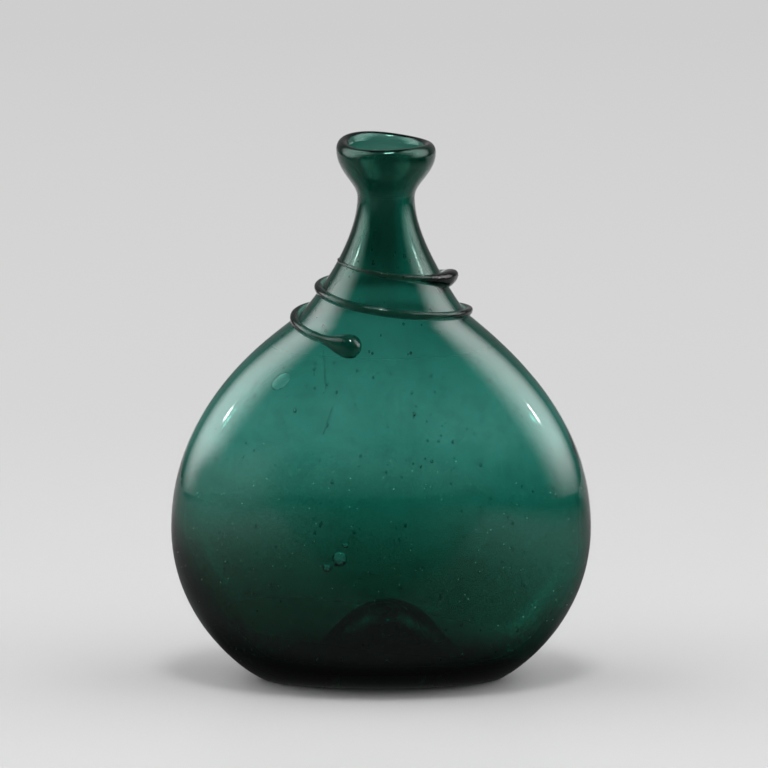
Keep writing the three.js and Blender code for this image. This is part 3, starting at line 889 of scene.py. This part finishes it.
@dataclass
class WoundThread:
    """The thread of hot glass: a drop set down on the front, then drawn out round the shoulder."""

    glass: Material
    vessel: Vessel
    width: float = 0.0031
    proud: float = 0.0026
    tip: float = 0.0011
    drop_width: float = 0.0082
    drop_length: float = 0.0145
    drop_proud: float = 0.0036
    drop_overrun: float = 0.0036
    turns: float = 2.2
    start_angle: float = math.radians(250.7)
    start_height: float = 0.1223
    climb: float = 0.0259
    tilt: float = math.radians(4)
    knot_width: float = 0.0062
    bedded: float = 0.0003
    spread: float = 0.35
    sunk_share: float = 0.6
    steps_per_turn: int = 130
    drop_steps: int = 26
    rounded_steps: Span = (3.0, 5.0)
    sides: int = 20
    climb_shares: tuple[Span, ...] = (
        (0, 0), (0.09, 0.17), (0.32, 0.385), (0.4, 0.44), (0.55, 0.59), (0.77, 0.805), (0.85, 0.9), (1, 1),
    )
    knot_share: float = 0.77
    knot_reach_share: float = 0.045
    taper_share: float = 0.24
    near_share: float = 0.004

    def climbed(self, share: float) -> float:
        """Reads the climb, on a smooth curve through its stations.

        Args:
            share: how much of its turns is wound so far.

        Returns:
            The share of the rise that is reached.
        """
        turns = np.array([c[0] for c in self.climb_shares])
        rises = np.array([c[1] for c in self.climb_shares])
        slopes = np.gradient(rises, turns)
        i = int(np.clip(np.searchsorted(turns, share) - 1, 0, len(turns) - 2))
        span = turns[i + 1] - turns[i]
        t = (share - turns[i]) / span
        return float(
            (2 * t**3 - 3 * t**2 + 1) * rises[i]
            + (t**3 - 2 * t**2 + t) * span * slopes[i]
            + (3 * t**2 - 2 * t**3) * rises[i + 1]
            + (t**3 - t**2) * span * slopes[i + 1]
        )

    def place(self, share: float) -> tuple[Vector, Vector]:
        """The thread's middle line on the skin.

        Args:
            share: how much of its turns is wound so far.

        Returns:
            The place on the skin, and the way out of the glass there.
        """
        angle = self.start_angle - share * self.turns * 2 * math.pi
        level = self.start_height + self.climb * self.climbed(share)
        height = level - math.tan(self.tilt) * float(self.vessel.half_width(level)) * math.cos(angle)
        return self.vessel.skin(angle, height), self.vessel.outward(angle, height)

    def section(self, share: float, run: float) -> tuple[float, float]:
        """How wide and how proud the thread stands.

        Args:
            share: how much of its turns is wound so far.
            run: the length laid so far.

        Returns:
            Its width and its height over the skin.
        """
        knot = math.exp(-(((share - self.knot_share) / self.knot_reach_share) ** 2))
        thin = float(smoothstep(share, 1 - self.taper_share, 1))
        width = self.width + (self.tip - self.width) * thin + (self.knot_width - self.width) * knot
        height = self.proud / self.width * width
        front = self.drop_width / 2
        blunt = math.sqrt(max(0.0, 1 - max(0.0, 1 - run / front) ** 2))
        in_drop = 1 - float(smoothstep(run, front, self.drop_length))
        width += (self.drop_width * blunt - width) * in_drop
        height += (self.drop_proud * blunt - height) * in_drop
        return width, height

    def shares(self) -> list[float]:
        """Lists the stations along the thread, close together over the drop.

        Returns:
            Their shares of the turns.
        """
        shoulder = self.vessel.shoulder_height
        girth = math.pi * float(self.vessel.half_width(shoulder) + self.vessel.half_depth(shoulder))
        first = -self.drop_overrun / (self.turns * girth)
        drop = self.drop_length / (self.turns * girth)
        steps = round(self.steps_per_turn * self.turns)
        turns = [math.pi / 2 * i / self.drop_steps for i in range(self.drop_steps)]
        start = [first + drop * (1 - math.cos(turn)) for turn in turns]
        return start + [first + drop + (1 - first - drop) * i / steps for i in range(steps + 1)]

    def build(self) -> bpy.types.Object:
        """Draws a straight rod of glass, then lays it round the shoulder.

        Returns:
            The thread.
        """
        shares = self.shares()
        bm = bmesh.new()
        bmesh.ops.create_circle(bm, cap_ends=False, segments=self.sides, radius=1.0)
        rise = {"dvec": (0, 0, 1), "angle": 0, "steps": len(shares) - 1, **ABOUT_AXIS}
        bmesh.ops.spin(bm, geom=bm.verts[:] + bm.edges[:], **rise)
        stations = []
        run = 0.0
        for i, share in enumerate(shares):
            at, out = self.place(share)
            run += (at - stations[-1][0]).length if stations else 0.0
            before, after = share - self.near_share, min(1.0, share + self.near_share)
            across = (self.place(after)[0] - self.place(before)[0]).cross(out).normalized()
            start, end = self.rounded_steps
            ends = math.sqrt(min(1.0, i / start, (len(shares) - 1 - i) / end))
            width, height = self.section(share, run)
            stations.append((at, out, across, width * ends, height * ends))
        for vert in bm.verts:
            at, out, across, width, height = stations[round(vert.co.z)]
            turn = math.atan2(vert.co.y, vert.co.x)
            side = width / 2 * math.cos(turn)
            sunk = self.bedded + self.spread * side * side / self.drop_width
            above = height * math.sin(turn) if turn >= 0 else sunk * math.sin(turn)
            spot = at + across * side + out * (above - sunk * self.sunk_share)
            spot.x += float(self.vessel.leaned(spot.z))
            vert.co = spot
        bmesh.ops.remove_doubles(bm, verts=bm.verts[:], dist=MERGE)
        bmesh.ops.holes_fill(bm, edges=bm.edges[:], sides=0)
        bmesh.ops.recalc_face_normals(bm, faces=bm.faces[:])
        thread = shaped("wound_thread", bm, self.glass)
        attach(thread, "root")
        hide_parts("glass_trail")
        return thread


@dataclass
class PontilScar:
    """The broken ring of glass that the rod left under the kick."""

    glass: Material
    vessel: Vessel
    diameter: float = 0.0125
    hole: float = 0.0045
    thickness: float = 0.0015
    raggedness: float = 0.0007
    chip_share: float = 0.5
    chip_rate: float = 900.0
    break_share: float = 0.35
    break_rate: float = 700.0
    bedded: float = 0.0002
    segments: int = 96
    sides: int = 14

    def build(self) -> bpy.types.Object:
        """Spins a ring and breaks its edge, then sets it against the dome of the kick.

        Returns:
            The scar.
        """
        middle, band = (self.diameter + self.hole) / 4, (self.diameter - self.hole) / 4
        bm = bmesh.new()
        bmesh.ops.create_circle(bm, cap_ends=False, segments=self.sides, radius=1.0)
        upright = Matrix.Rotation(math.pi / 2, 4, "X") @ Matrix.Diagonal((band, self.thickness / 2, 1, 1))
        bmesh.ops.transform(bm, matrix=Matrix.Translation((middle, 0, 0)) @ upright, verts=bm.verts[:])
        turn = {"angle": 2 * math.pi, "steps": self.segments, **ABOUT_AXIS}
        bmesh.ops.spin(bm, geom=bm.verts[:] + bm.edges[:], use_merge=True, **turn)
        for vert in bm.verts:
            far = vert.co.xy.length
            angle = math.atan2(vert.co.y, vert.co.x)
            lobes = 0.6 * math.cos(3 * angle) + 0.4 * math.cos(7 * angle + 1)
            round_ = Vector((math.cos(angle) * 5, math.sin(angle) * 5, far * self.chip_rate))
            ragged = self.raggedness * (lobes + self.chip_share * noise.noise(round_))
            grow = 1 + ragged * max(0.0, far - middle) / (band * far)
            vert.co.x *= grow
            vert.co.y *= grow
            dome = float(self.vessel.kick_underside(np.array([vert.co.x]), np.array([vert.co.y]))[0])
            chipped = self.break_share * self.thickness * noise.noise(vert.co * self.break_rate)
            vert.co.z += dome - self.thickness / 2 + self.bedded + (chipped if vert.co.z < 0 else 0.0)
        bmesh.ops.recalc_face_normals(bm, faces=bm.faces[:])
        scar = shaped("pontil_ring", bm, self.glass)
        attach(scar, "root")
        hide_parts("pontil_scar")
        return scar


@dataclass(frozen=True)
class SoftBox:
    """One studio light or card: a lit cloth that faces the flask and fades out at its edges.

    Its bearing, from the front, and its rise are in degrees.
    """

    name: str
    bearing: float
    rise: float
    distance: float
    width: float
    tall: float
    radiance: float
    side_feather: float
    end_feather: float

    def cloth(self) -> Material:
        """Makes the lit cloth, which thins to nothing at its edges and is dark behind.

        Returns:
            The finished material.
        """
        material = bpy.data.materials.new(self.name + "_cloth")
        tree = emptied(material)
        add = partial(add_node, tree)
        place = add("TexCoord").outputs["Object"]
        across, up, _ = add("SeparateXYZ", links={"Vector": place}).outputs
        levels = []
        sizes = ((across, self.width, self.side_feather), (up, self.tall, self.end_feather))
        for socket, size, feather in sizes:
            off = add("Math", {"operation": "ABSOLUTE"}, {0: socket})
            levels.append(eased(tree, off, size / 2, size / 2 - feather))
        glow = add("Emission", {"Strength": self.radiance})
        links = {0: combined(tree, "MULTIPLY", *levels), 1: add("BsdfTransparent"), 2: glow}
        faded = add("MixShader", links=links)
        behind = add("NewGeometry").outputs["Backfacing"]
        whole = add("MixShader", links={0: behind, 1: faded, 2: add("Emission", {"Strength": 0.0})})
        add("OutputMaterial", links={"Surface": whole})
        return material

    def build(self, aim: Vector) -> None:
        """Hangs the cloth and turns it to the flask.

        Args:
            aim: the point that it faces.
        """
        bearing, rise = math.radians(self.bearing), math.radians(self.rise)
        flat = self.distance * math.cos(rise)
        offset = Vector((flat * math.sin(bearing), -flat * math.cos(bearing), 0))
        offset.z = self.distance * math.sin(rise)
        bm = bmesh.new()
        bmesh.ops.create_grid(bm, x_segments=1, y_segments=1, size=0.5)
        bmesh.ops.scale(bm, vec=(self.width, self.tall, 1), verts=bm.verts[:])
        cloth = shaped(self.name, bm, self.cloth())
        cloth.location = aim + offset
        cloth.rotation_euler = (-offset).to_track_quat("Z", "Y").to_euler()
        cloth.visible_camera = False


@dataclass
class Studio:
    """The table with its board, the lights, the room and the camera."""

    paper: Paper = field(default_factory=Paper)
    half_width: float = 1.15
    front_edge: float = -1.1
    back_edge: float = 2.4
    room_colour: str = "303133"
    fill_colour: str = "e0e0e0"
    backdrop_colour: str = "8a8b8b"
    backdrop: Span = (0.4, 0.75)
    seen_colour: str = "d0d0d0"
    camera_rise: float = math.radians(14)
    camera_distance: float = 1.3
    fitted_point: Vector = field(default_factory=lambda: Vector((0, 0, 0.09)))
    aim: Vector = field(default_factory=lambda: Vector((0.001, 0, 0.1053)))
    lit_point: Vector = field(default_factory=lambda: Vector((0, 0, 0.06)))
    focal_length: float = 177.3
    sensor: float = 36.0
    boxes: tuple[SoftBox, ...] = (
        SoftBox("left_softbox", -91, 35, 2.0, 3.1, 3.7, 5.7, 1.45, 1.1),
        SoftBox("right_softbox", 88, 35, 2.0, 3.0, 3.7, 5.6, 1.4, 1.1),
        SoftBox("left_lamp", -81, 21, 1.9, 0.16, 0.22, 40.0, 0.08, 0.08),
        SoftBox("right_lamp", 81, 21, 1.9, 0.16, 0.22, 40.0, 0.08, 0.08),
        SoftBox("left_card", -58, 2, 0.8, 1.2, 0.32, 0.62, 0.4, 0.14),
        SoftBox("front_card", 0, 0, 1.0, 1.5, 0.17, 0.2, 0.45, 0.08),
        SoftBox("ceiling_light", 6, 77, 1.3, 0.34, 0.34, 40.0, 0.06, 0.06),
    )

    def lay_paper(self) -> None:
        """Lays the board on the table, long behind the flask so that it is the backdrop too."""
        bm = bmesh.new()
        bmesh.ops.create_grid(bm, x_segments=1, y_segments=1, size=1.0)
        middle = (self.front_edge + self.back_edge) / 2
        reach = (self.back_edge - self.front_edge) / 2
        matrix = Matrix.Translation((0, middle, 0)) @ Matrix.Diagonal((self.half_width, reach, 1, 1))
        bmesh.ops.transform(bm, matrix=matrix, verts=bm.verts[:])
        shaped("paper_table", bm, self.paper.build())

    def light_room(self) -> None:
        """Sets the room: dim in front and grey behind where glass mirrors it, and pale where it is seen."""
        world = bpy.data.worlds.new("studio_room")
        tree = emptied(world)
        add = partial(add_node, tree)
        rays = add("LightPath").outputs
        seen = combined(tree, "MAXIMUM", rays["Is Camera Ray"], rays["Is Transmission Ray"])
        toward = add("TexCoord").outputs["Generated"]
        _, behind, _ = add("SeparateXYZ", links={"Vector": toward}).outputs
        tones = {1: linear(self.room_colour), 2: linear(self.backdrop_colour)}
        share = eased(tree, behind, *self.backdrop)
        around = add("MixRGB", tones, {0: share})
        room = add("MixRGB", {1: linear(self.fill_colour)}, {0: rays["Is Glossy Ray"], 2: around})
        colour = add("MixRGB", {2: linear(self.seen_colour)}, {0: seen, 1: room})
        sky = add("Background", links={"Color": colour})
        add("OutputWorld", links={"Surface": sky})
        bpy.context.scene.world = world

    def set_camera(self) -> None:
        """Sets the camera at the photograph's viewing angle."""
        rise = self.camera_distance * math.sin(self.camera_rise)
        back = self.camera_distance * math.cos(self.camera_rise)
        data = bpy.data.cameras.new("photograph_view")
        data.lens = self.focal_length
        data.sensor_width = self.sensor
        camera = bpy.data.objects.new("photograph_view", data)
        camera.location = self.fitted_point + Vector((0, -back, rise))
        camera.rotation_euler = (self.aim - camera.location).to_track_quat("-Z", "Y").to_euler()
        bpy.context.scene.collection.objects.link(camera)
        bpy.context.scene.camera = camera

    def build(self) -> None:
        """Sets up the whole studio."""
        self.set_camera()
        self.lay_paper()
        self.light_room()
        for box in self.boxes:
            box.build(self.lit_point)


def main() -> None:
    """Builds the studio and the flask, piece by piece, sized from the box of the plain body, and logs each
    piece's face count.
    """
    logging.basicConfig(level=logging.INFO, format="%(message)s")
    Studio().build()
    low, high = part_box("flask_body")
    body_glass = BlownGlass("blown_forest_glass").build()
    # The brown tint lies all over the thread, as it does in the neck, and a grey painted reflection tint dims
    # its reflections.
    over = (0.09, 0.1)
    thread_glass = BlownGlass("drawn_glass_thread", film=over, cup=over, painted_reflection_tint="b4b4b4").build()
    scar_glass = BlownGlass("broken_glass_ring", polish=0.3, haze=0.45).build()
    vessel = Vessel(body_glass, height=high.z, belly_width=high.x - low.x, belly_depth=high.y - low.y)
    pieces = (
        vessel.build(Seeds()),
        WoundThread(thread_glass, vessel).build(),
        PontilScar(scar_glass, vessel).build(),
    )
    for piece in pieces:
        LOG.info("%s: %d faces", piece.name, len(piece.data.polygons))
    bpy.context.scene.view_settings.view_transform = "Standard"


if __name__ == "__main__":
    main()
